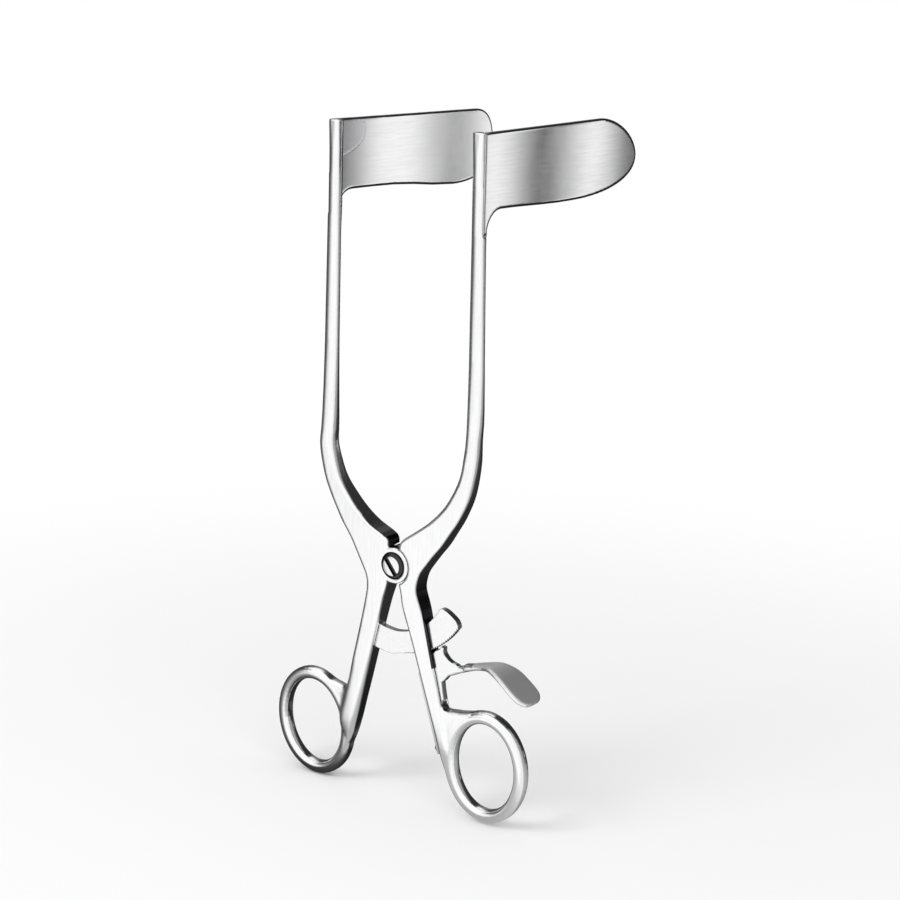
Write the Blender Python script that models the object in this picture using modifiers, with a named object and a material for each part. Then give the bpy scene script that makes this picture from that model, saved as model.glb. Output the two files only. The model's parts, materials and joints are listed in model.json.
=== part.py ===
"""Self-retaining vaginal retractor: two ring-handled arms on a screw joint, each with a flat blade.

Squeezing the rings spreads the blades. A toothed bar on the left handle slides through the right handle,
and a spring-loaded release lever holds it there. Sizes below are in millimetres.
X runs across the instrument, Z along it from rings to blades, and the blades reach out along +Y.
The origin is the flat rear end of the joint screw.
"""
import math

import bmesh
import bpy
from mathutils import Matrix, Vector

MM = 0.001
GAP = 0.3                       # clearance between pieces that touch

# Joint of the two arms
JOINT_T = 7.6                   # thickness of both arms at the joint
EYE_R = 6.0                     # round half-lap eye of each arm
NOTCH_R = 9.3                   # how far out the arms part above and below the eye
NOTCH_ANGLE = 19.0              # half angle of that parting
SCREW_R = 2.0
SCREW_HEAD_R = 4.15
SCREW_HEAD_H = 1.6
SCREW_SINK = 0.9                # how deep the head sits in the eye
SCREW_PROUD = 0.4               # how far the screw's rear end stands out
SLOT_W = 0.95
SLOT_DEPTH = 0.8
SLOT_TURN = -43.0               # direction of the screwdriver slot, degrees from +X

# Shanks
BLADE_TOP_Z = 141.5             # top edge of the blades above the joint
SHANK_X = 27.65                 # middle of a shank at its blade
SHANK_W = 4.4                   # width across the instrument at the blade
SHANK_T = 3.6                   # thickness along Y at the blade
BEND_X = 28.9                   # middle of a shank at its bend
BEND_W = 5.5
BEND_T = 5.3
BEND_RUN = 10.0                 # the straight shank ends this far above its bend
LEFT_BEND_Z = 35.0              # the left arm turns in sharply here
RIGHT_BEND_Z = 46.0             # the right arm starts a slow curve here

# Handles: the middle line leaves the joint's height at an offset and leans out by an angle
LEFT_HANDLE_OFFSET = 4.65
LEFT_HANDLE_ANGLE = 13.75
LEFT_HANDLE_W = (6.9, 7.3)      # width below the joint, and beside the ring
RIGHT_HANDLE_OFFSET = 3.54
RIGHT_HANDLE_ANGLE = 16.45
RIGHT_HANDLE_W = (7.6, 5.0)
HANDLE_T = 6.6
HANDLE_THINNING = 0.6           # how much thinner a handle is beside its ring
HANDLE_TOP_Z = -12.0            # the straight handle starts below the waist here
HANDLE_LOW_Z = -58.5            # and ends beside the ring here

# Finger rings
LEFT_RING_X = 33.6
LEFT_RING_Z = -62.2
RIGHT_RING_X = 36.2
RIGHT_RING_Z = -61.5
RING_HALF_W = 11.4              # half of the opening across the ring
RING_HALF_H = 14.6              # half of the opening along it
LEFT_RING_LEAN = 7.5            # degrees that an oval's top leans towards -X
RIGHT_RING_LEAN = 1.2
RING_BAND = 4.3
RING_T = 5.0
WEB_ANGLE = 108                 # the web leaves the ring's oval here, degrees from its outer side
LEFT_WEB_DIP = 3.0              # hollow between a ring's top and its handle
RIGHT_WEB_DIP = 1.6
WEB_T = 4.6

# Blades
BLADE_T = 1.8
BLADE_REACH = 90.0              # tip beyond the middle plane of the arms
LEFT_BLADE_ROOT_H = 23.0
RIGHT_BLADE_ROOT_H = 24.0
BLADE_WIDE_H = 25.3             # height at the widest place
LEFT_BLADE_WIDE_Y = 66.0        # where the rounding of the tip starts on the lower edge
LEFT_BLADE_TOP_Y = 78.0         # and on the upper edge
LEFT_BLADE_DROOP = 1.2          # degrees that the left blade's tip hangs lower
RIGHT_BLADE_WIDE_Y = 50.0
RIGHT_BLADE_TOP_Y = 67.0
BLADE_LIP = 0.9                 # skin of the shank in front of a blade's root
BLADE_FILLET = 7.5              # between the lower edge and the shank
BLADE_EDGE = 0.6                # rounding of the plate's edges

# Ratchet bar, measured as radius and angle about the joint, angle 0 straight down, positive to the right
BAR_OUT_R = 30.1                # toothed edge
BAR_HEIGHT = 7.3                # at the root
BAR_TIP_HEIGHT = 9.1            # the bar is deeper towards its tip
BAR_IN_R = BAR_OUT_R - BAR_HEIGHT
BAR_TIP_IN_R = BAR_OUT_R - BAR_TIP_HEIGHT
BAR_T = 2.6
BAR_TIP = 56.0
TIP_BULGE = 3.0                 # degrees that the rounded tip stands out beyond that
BAR_ROOT = -24.5                # end of the tenon in the left handle
BAR_FLARE = 1.0                 # the outer edge swells by this towards the root
BAR_FLARE_END = 3.0             # and the swelling has gone here
TOOTH_PITCH = 2.0               # degrees; both ends of the arms' travel are whole pitches away
TOOTH_DEPTH = 0.65
TOOTH_FOOT = 0.88               # share of the pitch where a tooth space is deepest
TOOTH_FIRST = 7.0
TOOTH_LAST = 55.0
MORTISE_ANGLES = (3.0, 44.0)    # what the mortise in the right handle covers
TENON_MOUTH = -8.0              # the tenon's slot in the left handle is open from here on
BAR_PIN_R = 0.8
BAR_PIN_ANGLE = -20.5

# Release lever
LEVER_T = 2.8
LEVER_PIN_DROP = 4.9           # pin beyond the bar's toothed edge, from the joint
LEVER_PIN_R = 1.1
LEVER_BOSS_R = 2.7
PAWL_ANGLE = 35.0               # where the pawl stands under the bar
PAWL_CROWN = 3.6                # degrees of the pawl's crown to the left of its tooth
PAWL_GAP = 0.15                 # clearance of the pawl in a tooth space
PAWL_BITE = 0.35                # how deep the engaged pawl reaches past the tooth tips
PAWL_LIFT = 3.5                 # degrees that the modelled lever is turned out of engagement
TAIL_DROP = 11.5                # how far the tail reaches below the pin
THUMB_W = 13.0                  # width of the thumb piece along Y
THUMB_T = 1.7
THUMB_X = 54.0                  # outer end of the thumb piece
THUMB_RISE = 5.3                # its highest place above the pin

# Leaf spring on the inner edge of the right handle
SPRING_T = 0.8
SPRING_W = 3.6
SPRING_TOP_Z = -34.8
SPRING_LOW_Z = -61.0
SPRING_SEAT = 0.2               # depth of the flat seat in the handle
SPRING_SCREW_R = 0.8
SPRING_SCREW_HEAD_R = 1.5
SPRING_SCREW_HEAD_H = 0.7
SPRING_SCREW_L = 3.0

MID_Y = -(JOINT_T / 2 + SCREW_PROUD)
RENDERED = "vaginal_retractor"
HELPERS = "cutters"


def start_scene():
    for item in list(bpy.data.objects):
        bpy.data.objects.remove(item, do_unlink=True)
    for name in (RENDERED, HELPERS):
        old = bpy.data.collections.get(name)
        if old:
            bpy.data.collections.remove(old)
        bpy.context.scene.collection.children.link(bpy.data.collections.new(name))


def steel(name, colour, roughness):
    material = bpy.data.materials.new(name)
    material.use_nodes = True
    shader = material.node_tree.nodes["Principled BSDF"]
    shader.inputs["Base Color"].default_value = (*colour, 1.0)
    shader.inputs["Roughness"].default_value = roughness
    shader.inputs["Metallic"].default_value = 1.0
    return material


def place(name, mesh, material=None, helper=False):
    """Puts a mesh whose points are in millimetres about the joint into the scene."""
    item = bpy.data.objects.new(name, mesh)
    bpy.data.collections[HELPERS if helper else RENDERED].objects.link(item)
    if helper:
        item.hide_render = True
        item.display_type = "WIRE"
    if material:
        mesh.materials.clear()
        mesh.materials.append(material)
    return item


def finish_mesh(name, bm):
    bmesh.ops.recalc_face_normals(bm, faces=bm.faces)
    mesh = bpy.data.meshes.new(name)
    bm.to_mesh(mesh)
    bm.free()
    return mesh


def smooth(item, angle=35.0):
    item.data.shade_smooth()
    item.data.set_sharp_from_angle(angle=math.radians(angle))


def rounded_section(width, thickness, radius, steps=3):
    """Corner-rounded rectangle as (across, y) points, the same number for every size."""
    radius = min(radius, 0.49 * width, 0.49 * thickness)
    points = []
    for corner, (sx, sy) in enumerate(((1, 1), (-1, 1), (-1, -1), (1, -1))):
        cx = sx * (width / 2 - radius)
        cy = sy * (thickness / 2 - radius)
        for step in range(steps + 1):
            turn = math.radians(90 * corner + 90 * step / steps)
            points.append((cx + radius * math.cos(turn), cy + radius * math.sin(turn)))
    return points


def catmull(a, b, c, d, t):
    return 0.5 * (2 * b + (c - a) * t + (2 * a - 5 * b + 4 * c - d) * t * t
                  + (3 * b - a - 3 * c + d) * t * t * t)


def refine(stations, steps):
    """Smooth curve through stations, each a tuple of numbers."""
    out = []
    last = len(stations) - 1
    for i in range(last):
        four = [stations[max(0, min(last, i + k))] for k in (-1, 0, 1, 2)]
        for step in range(steps):
            out.append(tuple(catmull(*values, step / steps) for values in zip(*four)))
    out.append(stations[-1])
    return out


def skin(name, rings, closed=False):
    """Loft through rings of points; open ends get a flat cap."""
    bm = bmesh.new()
    loops = [[bm.verts.new(Vector(p) * MM) for p in ring] for ring in rings]
    count = len(loops[0])
    pairs = list(zip(loops, loops[1:]))
    if closed:
        pairs.append((loops[-1], loops[0]))
    for one, two in pairs:
        for k in range(count):
            bm.faces.new((one[k], one[(k + 1) % count], two[(k + 1) % count], two[k]))
    if not closed:
        bm.faces.new(loops[0])
        bm.faces.new(loops[-1])
    return finish_mesh(name, bm)


def bar_loft(name, side, stations, steps):
    """Bar between an outer and an inner edge: stations are (outer u, z, inner u, z, thickness, rounding)."""
    rings = []
    for ou, oz, iu, iz, thickness, radius in refine(stations, steps):
        outer = Vector((side * ou, 0, oz))
        inner = Vector((side * iu, 0, iz))
        middle = (outer + inner) / 2
        along = (outer - inner).normalized()
        section = rounded_section((outer - inner).length, thickness, radius)
        rings.append([middle + along * p + Vector((0, q, 0)) for p, q in section])
    return skin(name, rings)


def plate(name, outline, thickness, rounding=0.0, across="Y"):
    """Flat outline in the XZ plane (or YZ with across X) with thickness, as a mesh."""
    curve = bpy.data.curves.new(name, "CURVE")
    curve.dimensions = "2D"
    curve.fill_mode = "BOTH"
    curve.extrude = (thickness / 2 - rounding) * MM
    curve.bevel_depth = rounding * MM
    curve.bevel_resolution = 2
    curve.offset = -rounding * MM
    spline = curve.splines.new("POLY")
    spline.points.add(len(outline) - 1)
    for point, (a, b) in zip(spline.points, outline):
        point.co = (a * MM, b * MM, 0, 1)
    spline.use_cyclic_u = True
    source = bpy.data.objects.new(name + "_outline", curve)
    bpy.context.scene.collection.objects.link(source)
    bpy.context.view_layer.update()
    mesh = bpy.data.meshes.new_from_object(source.evaluated_get(bpy.context.evaluated_depsgraph_get()))
    bpy.data.objects.remove(source, do_unlink=True)
    bpy.data.curves.remove(curve)
    turn = Matrix.Rotation(math.radians(90), 4, "X")
    if across == "X":
        turn = Matrix(((0, 0, 1, 0), (1, 0, 0, 0), (0, 1, 0, 0), (0, 0, 0, 1)))
    mesh.transform(turn)
    bm = bmesh.new()
    bm.from_mesh(mesh)
    bmesh.ops.remove_doubles(bm, verts=bm.verts, dist=0.000005)
    bpy.data.meshes.remove(mesh)
    return finish_mesh(name, bm)


def cylinder(name, x, z, radius, y_from, y_to, segments=48):
    bm = bmesh.new()
    bmesh.ops.create_cone(bm, cap_ends=True, segments=segments, radius1=radius * MM, radius2=radius * MM,
                          depth=(y_to - y_from) * MM)
    bmesh.ops.rotate(bm, verts=bm.verts, matrix=Matrix.Rotation(math.radians(90), 3, "X"))
    bmesh.ops.translate(bm, verts=bm.verts, vec=Vector((x, (y_from + y_to) / 2, z)) * MM)
    return finish_mesh(name, bm)


def box(name, size, centre, turn_y=0.0):
    bm = bmesh.new()
    bmesh.ops.create_cube(bm, size=1.0)
    bmesh.ops.scale(bm, verts=bm.verts, vec=Vector(size) * MM)
    bmesh.ops.rotate(bm, verts=bm.verts, matrix=Matrix.Rotation(math.radians(turn_y), 3, "Y"))
    bmesh.ops.translate(bm, verts=bm.verts, vec=Vector(centre) * MM)
    return finish_mesh(name, bm)


def boolean(item, mesh, operation):
    """Joins a helper solid to an object, or cuts it away."""
    helper = place(mesh.name, mesh, helper=True)
    helper.parent = item.parent
    modifier = item.modifiers.new(mesh.name, "BOOLEAN")
    modifier.operation = operation
    modifier.solver = "EXACT"
    modifier.object = helper


def polar(radius, angle):
    """Point at an angle about the joint, 0 straight down, positive to the right."""
    turn = math.radians(angle)
    return (radius * math.sin(turn), -radius * math.cos(turn))


def handle_line(z, offset, angle, widths):
    """Outer and inner edge of a straight handle at a height."""
    middle = offset + math.tan(math.radians(angle)) * -z
    share = (HANDLE_TOP_Z - z) / (HANDLE_TOP_Z - HANDLE_LOW_Z)
    width = widths[0] + (widths[1] - widths[0]) * share
    return middle + width / 2, middle - width / 2


def shank_stations(bend_z):
    """The straight shank from the blade's top edge down to just above its bend."""
    stations = []
    low_z = bend_z + BEND_RUN
    for share in (0.0, 0.3, 0.65, 1.0):
        z = BLADE_TOP_Z + (low_z - BLADE_TOP_Z) * share
        lean = (BLADE_TOP_Z - z) / (BLADE_TOP_Z - LEFT_BEND_Z)
        middle = SHANK_X + (BEND_X - SHANK_X) * lean
        width = SHANK_W + (BEND_W - SHANK_W) * max(0.0, (share - 0.15) / 0.85)
        thickness = SHANK_T + (BEND_T - SHANK_T) * max(0.0, (share - 0.15) / 0.85)
        stations.append((middle + width / 2, z, middle - width / 2, z, thickness, 0.36 * thickness))
    return stations


def notch_corner(up):
    """Corner where an arm's inner edge turns into the parting beside the eye, as (u, z)."""
    turn = math.radians(NOTCH_ANGLE)
    return NOTCH_R * math.sin(turn), up * NOTCH_R * math.cos(turn)


def neck(fraction_x, fraction_z, bend_z):
    """Point on the curved stretch between a shank's bend and the joint."""
    return fraction_x * BEND_X, fraction_z * bend_z


def neck_stations(edges, bend_z):
    """Stations of the curved stretch from (outer x, z, inner x, z, thickness share) fractions."""
    stations = []
    for ox, oz, ix, iz, share in edges:
        thickness = BEND_T + (JOINT_T - BEND_T) * share
        stations.append((*neck(ox, oz, bend_z), *neck(ix, iz, bend_z), thickness, 1.9 - share))
    return stations


def joint_stations(outer_edge):
    """Stations beside the eye: the inner edge runs inside the eye, the outer edge is the waist."""
    upper = notch_corner(1)
    lower = notch_corner(-1)
    inside = 0.37 * EYE_R
    inner_edge = (upper, (inside, 0.9 * EYE_R), (inside, 0.0), (inside, -0.9 * EYE_R), lower)
    stations = []
    for (ou, oz), (iu, iz) in zip(outer_edge, inner_edge):
        stations.append((ou, oz, iu, iz, JOINT_T, 0.9))
    return stations


def handle_stations(offset, angle, widths, ring_x, ring_z):
    """The straight handle, then its run along the inner side of the ring."""
    stations = []
    count = 6
    for k in range(count + 1):
        z = HANDLE_TOP_Z - 1.5 + (HANDLE_LOW_Z - HANDLE_TOP_Z + 1.5) * k / count
        outer, inner = handle_line(z, offset, angle, widths)
        thickness = HANDLE_T + (JOINT_T - HANDLE_T) * max(0.0, 0.75 - 0.55 * k) - HANDLE_THINNING * k / count
        stations.append((outer, z, inner, z, thickness, 1.0 + 0.12 * k))
    inside = ring_x - RING_HALF_W
    for drop, inner, thickness, radius in ((0.14, 1.2, RING_T, 1.9), (0.48, 0.6, 0.8 * RING_T, 0.6)):
        z = ring_z - drop * RING_HALF_H
        stations.append((inside - 0.25 * RING_BAND, z, inside - inner * RING_BAND, z, thickness, radius))
    return stations


LEFT_NECK = (
    (1.109, 1.03, 0.914, 1.06, 0.05),
    (1.071, 0.86, 0.874, 0.90, 0.2),
    (1.0, 0.683, 0.798, 0.73, 0.4),
    (0.886, 0.506, 0.68, 0.597, 0.6),
    (0.75, 0.329, 0.516, 0.454, 0.8),
    (0.658, 0.236, 0.338, 0.346, 0.95),
)
LEFT_WAIST = ((17.0, 5.5), (14.65, 1.3), (12.45, -2.6), (11.05, -5.4), (10.6, -8.9))
RIGHT_NECK = (
    (1.069, 1.0, 0.894, 1.0, 0.0),
    (1.06, 0.852, 0.875, 0.857, 0.1),
    (1.026, 0.707, 0.842, 0.726, 0.25),
    (0.967, 0.563, 0.752, 0.593, 0.4),
    (0.853, 0.411, 0.633, 0.474, 0.6),
    (0.744, 0.304, 0.46, 0.361, 0.8),
    (0.635, 0.2, 0.284, 0.276, 0.95),
)
RIGHT_WAIST = ((15.2, 5.3), (12.6, 1.8), (10.4, -1.4), (9.3, -4.6), (9.2, -7.8))


def ring_mesh(name, side, centre_x, centre_z, lean_angle):
    """Oval finger ring with a rounded band."""
    rings = []
    count = 52
    lean = Matrix.Rotation(math.radians(-lean_angle), 3, "Y")
    a = RING_HALF_W + RING_BAND / 2
    b = RING_HALF_H + RING_BAND / 2
    section = rounded_section(RING_BAND, RING_T, 1.9)
    for k in range(count):
        turn = 2 * math.pi * k / count
        middle = Vector((a * math.cos(turn), 0, b * math.sin(turn)))
        out = Vector((b * math.cos(turn), 0, a * math.sin(turn))).normalized()
        ring = [lean @ (middle + out * p) + Vector((side * centre_x, q, centre_z)) for p, q in section]
        rings.append(ring)
    return skin(name, rings, closed=True)


def web_mesh(name, side, line, ring_x, ring_z, lean_angle, dip):
    """Solid web between the handle and the ring's upper half, with a hollow top edge."""
    a = RING_HALF_W + RING_BAND / 2
    b = RING_HALF_H + RING_BAND / 2
    lean = math.radians(side * lean_angle)

    def on_ring(angle, out):
        u = (a + out) * math.cos(math.radians(angle))
        z = (b + out) * math.sin(math.radians(angle))
        return (ring_x + u * math.cos(lean) - z * math.sin(lean),
                ring_z + z * math.cos(lean) + u * math.sin(lean))

    top = on_ring(WEB_ANGLE, RING_BAND / 2 - 0.3)
    low = on_ring(185, 0)
    corner_z = top[1] - dip
    corner = handle_line(corner_z, *line)[0]
    middle = [sum(handle_line(z, *line)) / 2 for z in (corner_z + 0.9, low[1])]
    hollow = ((corner + 0.1, corner_z + 1.2), (corner + 0.5, corner_z + 0.3), (corner + 1.4, corner_z),
              ((corner + 1.4 + top[0]) / 2, corner_z + 0.35 * dip))
    points = [(middle[0], corner_z + 1.2), *hollow, top]
    points += [on_ring(angle, 0) for angle in range(WEB_ANGLE + 6, 186, 9)]
    points.append((middle[1], low[1]))
    return plate(name, [(side * u, z) for u, z in points], WEB_T, 0.8)


def eye_cuts(item, front):
    """Adds an arm's eye on its own half and clears the other arm's eye from the other half."""
    half = JOINT_T / 2
    mine = (-half, -GAP / 2) if front else (GAP / 2, half)
    other = (-GAP / 2, half + 1) if front else (-half - 1, GAP / 2)
    label = item.name
    boolean(item, cylinder(label + "_lap", 0, 0, EYE_R + GAP, *other, segments=64), "DIFFERENCE")
    boolean(item, cylinder(label + "_eye", 0, 0, EYE_R, *mine, segments=64), "UNION")
    boolean(item, cylinder(label + "_screw_hole", 0, 0, SCREW_R + GAP, -half - 1, half + 1), "DIFFERENCE")


def blade_seat(item, side, root_height):
    """Rebate on the outer side of the shank for the blade's root, closed by a lip in front."""
    depth = BLADE_T + GAP
    outer = SHANK_X + SHANK_W / 2
    low = BLADE_TOP_Z - root_height - BLADE_FILLET - GAP
    height = BLADE_TOP_Z - low + 2
    front = -SHANK_T / 2 + BLADE_LIP
    cutter = box(item.name + "_blade_seat", (depth + 4, SHANK_T + 4, height),
                 (side * (outer - depth + (depth + 4) / 2), front + (SHANK_T + 4) / 2, low + height / 2))
    boolean(item, cutter, "DIFFERENCE")


def sector(inner, outer, start, end, steps=24):
    """Outline of a ring sector about the joint."""
    angles = [start + (end - start) * k / steps for k in range(steps + 1)]
    return [polar(outer, a) for a in angles] + [polar(inner, a) for a in reversed(angles)]


def left_arm(axis, material):
    side = -1
    stations = shank_stations(LEFT_BEND_Z) + neck_stations(LEFT_NECK, LEFT_BEND_Z)
    stations += joint_stations(LEFT_WAIST)
    line = (LEFT_HANDLE_OFFSET, LEFT_HANDLE_ANGLE, LEFT_HANDLE_W)
    stations += handle_stations(*line, LEFT_RING_X, LEFT_RING_Z)
    item = place("left_arm", bar_loft("left_arm", side, stations, 3), material)
    item.parent = axis
    boolean(item, ring_mesh("left_ring", side, LEFT_RING_X, LEFT_RING_Z, LEFT_RING_LEAN), "UNION")
    web = web_mesh("left_web", side, line, LEFT_RING_X, LEFT_RING_Z, LEFT_RING_LEAN, LEFT_WEB_DIP)
    boolean(item, web, "UNION")
    eye_cuts(item, front=True)
    half = JOINT_T / 2
    counterbore = cylinder("left_counterbore", 0, 0, SCREW_HEAD_R + GAP, -half - 1, -half + SCREW_SINK)
    boolean(item, counterbore, "DIFFERENCE")
    tenon = sector(BAR_IN_R - GAP, BAR_OUT_R + BAR_FLARE + GAP, BAR_ROOT - 0.7, TENON_MOUTH)
    boolean(item, plate("left_tenon_slot", tenon, BAR_T + 2 * GAP), "DIFFERENCE")
    for name, (x, z) in bar_pin_places().items():
        hole = cylinder("left_" + name, x, z, BAR_PIN_R + GAP, -pin_depth() - GAP, JOINT_T, 24)
        boolean(item, hole, "DIFFERENCE")
    blade_seat(item, side, LEFT_BLADE_ROOT_H)
    smooth(item)
    return item


def right_arm(axis, material):
    side = 1
    stations = shank_stations(RIGHT_BEND_Z) + neck_stations(RIGHT_NECK, RIGHT_BEND_Z)
    stations += joint_stations(RIGHT_WAIST)
    line = (RIGHT_HANDLE_OFFSET, RIGHT_HANDLE_ANGLE, RIGHT_HANDLE_W)
    stations += handle_stations(*line, RIGHT_RING_X, RIGHT_RING_Z)
    item = place("right_arm", bar_loft("right_arm", side, stations, 3), material)
    item.parent = axis
    boolean(item, ring_mesh("right_ring", side, RIGHT_RING_X, RIGHT_RING_Z, RIGHT_RING_LEAN), "UNION")
    web = web_mesh("right_web", side, line, RIGHT_RING_X, RIGHT_RING_Z, RIGHT_RING_LEAN, RIGHT_WEB_DIP)
    boolean(item, web, "UNION")
    eye_cuts(item, front=False)
    mortise = sector(BAR_TIP_IN_R - GAP, BAR_OUT_R + BAR_FLARE + GAP, *MORTISE_ANGLES)
    boolean(item, plate("right_mortise", mortise, BAR_T + 2 * GAP), "DIFFERENCE")
    boolean(item, plate("right_lever_slot", lever_slot(), LEVER_T + 2 * GAP), "DIFFERENCE")
    px, pz = lever_pin_place()
    hole = cylinder("right_lever_pin_hole", px, pz, LEVER_PIN_R + GAP, -pin_depth() - GAP, JOINT_T, 32)
    boolean(item, hole, "DIFFERENCE")
    boolean(item, spring_seat(), "DIFFERENCE")
    boolean(item, spring_screw_mesh("right_spring_screw_hole", GAP, False), "DIFFERENCE")
    blade_seat(item, side, RIGHT_BLADE_ROOT_H)
    smooth(item)
    return item


def lever_slot():
    """Slot through the right handle below the bar, for the lever and its tail."""
    line = (RIGHT_HANDLE_OFFSET, RIGHT_HANDLE_ANGLE, RIGHT_HANDLE_W)
    top = -BAR_OUT_R * math.cos(math.radians(PAWL_ANGLE)) - 1
    low = lever_pin_place()[1] - TAIL_DROP - 1.5
    top_out, top_in = handle_line(top, *line)
    low_out, low_in = handle_line(low, *line)
    return [(top_in - 3, top), (low_in - 3, low), (low_out - 1.0, low - 1.2), (low_out + 3, low - 1.2),
            (top_out + 3, top)]


def pin_depth():
    """How far a blind pin reaches past the middle plane towards the front."""
    return HANDLE_T / 2 - 0.8


def bar_pin_places():
    spread = BAR_HEIGHT / 4
    middle = (BAR_OUT_R + BAR_IN_R) / 2
    return {"bar_pin_upper": polar(middle - spread, BAR_PIN_ANGLE),
            "bar_pin_lower": polar(middle + spread, BAR_PIN_ANGLE)}


def half_thickness_at(z):
    """Half the thickness of a handle where a pin ends flush at its back."""
    share = max(0.0, min(1.0, (z - HANDLE_TOP_Z) / (HANDLE_LOW_Z - HANDLE_TOP_Z)))
    return (HANDLE_T - HANDLE_THINNING * share) / 2


def bar_outline():
    """Curved bar with saw teeth on its outer edge, a rounded tip and a tenon."""
    inner = []
    outer = []
    steps = 30
    for k in range(steps + 1):
        angle = BAR_ROOT + (BAR_TIP - BAR_ROOT) * k / steps
        deeper = (BAR_IN_R - BAR_TIP_IN_R) * max(0.0, angle) / BAR_TIP
        inner.append(polar(BAR_IN_R - deeper, angle))
        if angle < TOOTH_FIRST:
            swell = max(0.0, min(1.0, (BAR_FLARE_END - angle) / 8.0))
            outer.append(polar(BAR_OUT_R + BAR_FLARE * math.sin(math.pi / 2 * swell), angle))
    for k in range(int(round((TOOTH_LAST - TOOTH_FIRST) / TOOTH_PITCH))):
        start = TOOTH_FIRST + TOOTH_PITCH * k
        outer.append(polar(BAR_OUT_R, start))
        outer.append(polar(BAR_OUT_R - TOOTH_DEPTH, start + TOOTH_FOOT * TOOTH_PITCH))
    outer.append(polar(BAR_OUT_R, TOOTH_LAST))
    tip = BAR_TIP + TIP_BULGE
    for share, turn_back in ((0.1, 1.8), (0.25, 0.4), (0.45, 0.0), (0.7, 0.0), (0.88, 0.7), (0.97, 1.8)):
        outer.append(polar(BAR_OUT_R - share * BAR_TIP_HEIGHT, tip - turn_back))
    return outer + list(reversed(inner))


def ratchet_bar(axis, material):
    item = place("ratchet_bar", plate("ratchet_bar", bar_outline(), BAR_T), material)
    item.parent = axis
    for name, (x, z) in bar_pin_places().items():
        boolean(item, cylinder("bar_" + name, x, z, BAR_PIN_R + GAP, -BAR_T, BAR_T, 24), "DIFFERENCE")
    smooth(item)


def bar_pins(axis, material):
    for name, (x, z) in bar_pin_places().items():
        mesh = cylinder(name, x, z, BAR_PIN_R, -pin_depth(), half_thickness_at(z), 24)
        item = place(name, mesh, material)
        item.parent = axis
        smooth(item)


def turned(name, profile, segments=48):
    """Solid turned about the Y axis: profile runs (radius, y) from the front face to the rear face."""
    mesh = bpy.data.meshes.new(name)
    points = [Vector((r, y, 0)) * MM for r, y in profile]
    mesh.from_pydata(points, [(k, k + 1) for k in range(len(points) - 1)], [])
    source = bpy.data.objects.new(name + "_profile", mesh)
    bpy.context.scene.collection.objects.link(source)
    screw = source.modifiers.new("turn", "SCREW")
    screw.axis = "Y"
    screw.steps = segments
    screw.render_steps = segments
    screw.use_merge_vertices = True
    screw.merge_threshold = 0.00001
    bpy.context.view_layer.update()
    solid = bpy.data.meshes.new_from_object(source.evaluated_get(bpy.context.evaluated_depsgraph_get()))
    bpy.data.objects.remove(source, do_unlink=True)
    bpy.data.meshes.remove(mesh)
    bm = bmesh.new()
    bm.from_mesh(solid)
    bmesh.ops.remove_doubles(bm, verts=bm.verts, dist=0.000005)
    bpy.data.meshes.remove(solid)
    return finish_mesh(name, bm)


def pivot_screw(axis, material):
    face = -JOINT_T / 2 + SCREW_SINK - GAP
    front = face - SCREW_HEAD_H
    profile = (
        (0, front), (0.62 * SCREW_HEAD_R, front + 0.05), (0.88 * SCREW_HEAD_R, front + 0.25),
        (SCREW_HEAD_R, front + 0.7), (SCREW_HEAD_R, face), (SCREW_R, face),
        (SCREW_R, JOINT_T / 2 + SCREW_PROUD - 0.2), (SCREW_R - 0.2, JOINT_T / 2 + SCREW_PROUD),
        (0, JOINT_T / 2 + SCREW_PROUD),
    )
    item = place("pivot_screw", turned("pivot_screw", profile), material)
    item.parent = axis
    slot = box("screw_slot", (3 * SCREW_HEAD_R, 2 * SLOT_DEPTH, SLOT_W), (0, front, 0), -SLOT_TURN)
    boolean(item, slot, "DIFFERENCE")
    smooth(item)


def tip_curve(start_y, top_z, middle_z, power, steps, upward):
    """Rounded end of a blade: a superellipse quarter between an edge and the tip."""
    points = []
    for k in range(steps + 1):
        turn = math.pi / 2 * k / steps
        along = math.sin(turn) ** (2 / power)
        rise = math.cos(turn) ** (2 / power)
        y = start_y + (BLADE_REACH - start_y) * along
        points.append((y, middle_z + (top_z - middle_z) * rise))
    return points if upward else list(reversed(points))


def blade_outline(root_height, tip_top, tip_low, powers, middle, droop):
    """Blade in the YZ plane, from its front edge behind the shank's lip round the tip and back."""
    front = -SHANK_T / 2 + BLADE_LIP + GAP
    back = SHANK_T / 2
    root_z = BLADE_TOP_Z - root_height
    wide_z = BLADE_TOP_Z - BLADE_WIDE_H
    tip_z = BLADE_TOP_Z - middle * BLADE_WIDE_H
    top_power, low_power, belly = powers
    points = [(front, BLADE_TOP_Z)]
    points += tip_curve(tip_top, BLADE_TOP_Z, tip_z, top_power, 15, True)
    points += tip_curve(tip_low, wide_z, tip_z, low_power, 17, False)[1:]
    first = back + BLADE_FILLET
    for share in (0.8, 0.6, 0.4, 0.2):
        y = first + (tip_low - first) * share
        drop = math.sin(math.pi / 2 * share) ** belly
        points.append((y, root_z + (wide_z - root_z) * drop))
    for k in range(7):
        turn = math.pi / 2 * k / 6
        points.append((first - BLADE_FILLET * math.sin(turn), root_z - BLADE_FILLET * (1 - math.cos(turn))))
    points.append((front, root_z - BLADE_FILLET))
    slope = math.tan(math.radians(droop))
    return [(y, z - slope * max(0.0, y - back)) for y, z in points]


def blade(name, side, axis, material, outline):
    mesh = plate(name, outline, BLADE_T, BLADE_EDGE, across="X")
    outer = SHANK_X + SHANK_W / 2
    mesh.transform(Matrix.Translation(Vector((side * (outer - BLADE_T / 2), 0, 0)) * MM))
    item = place(name, mesh, material)
    item.parent = axis
    smooth(item)


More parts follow.
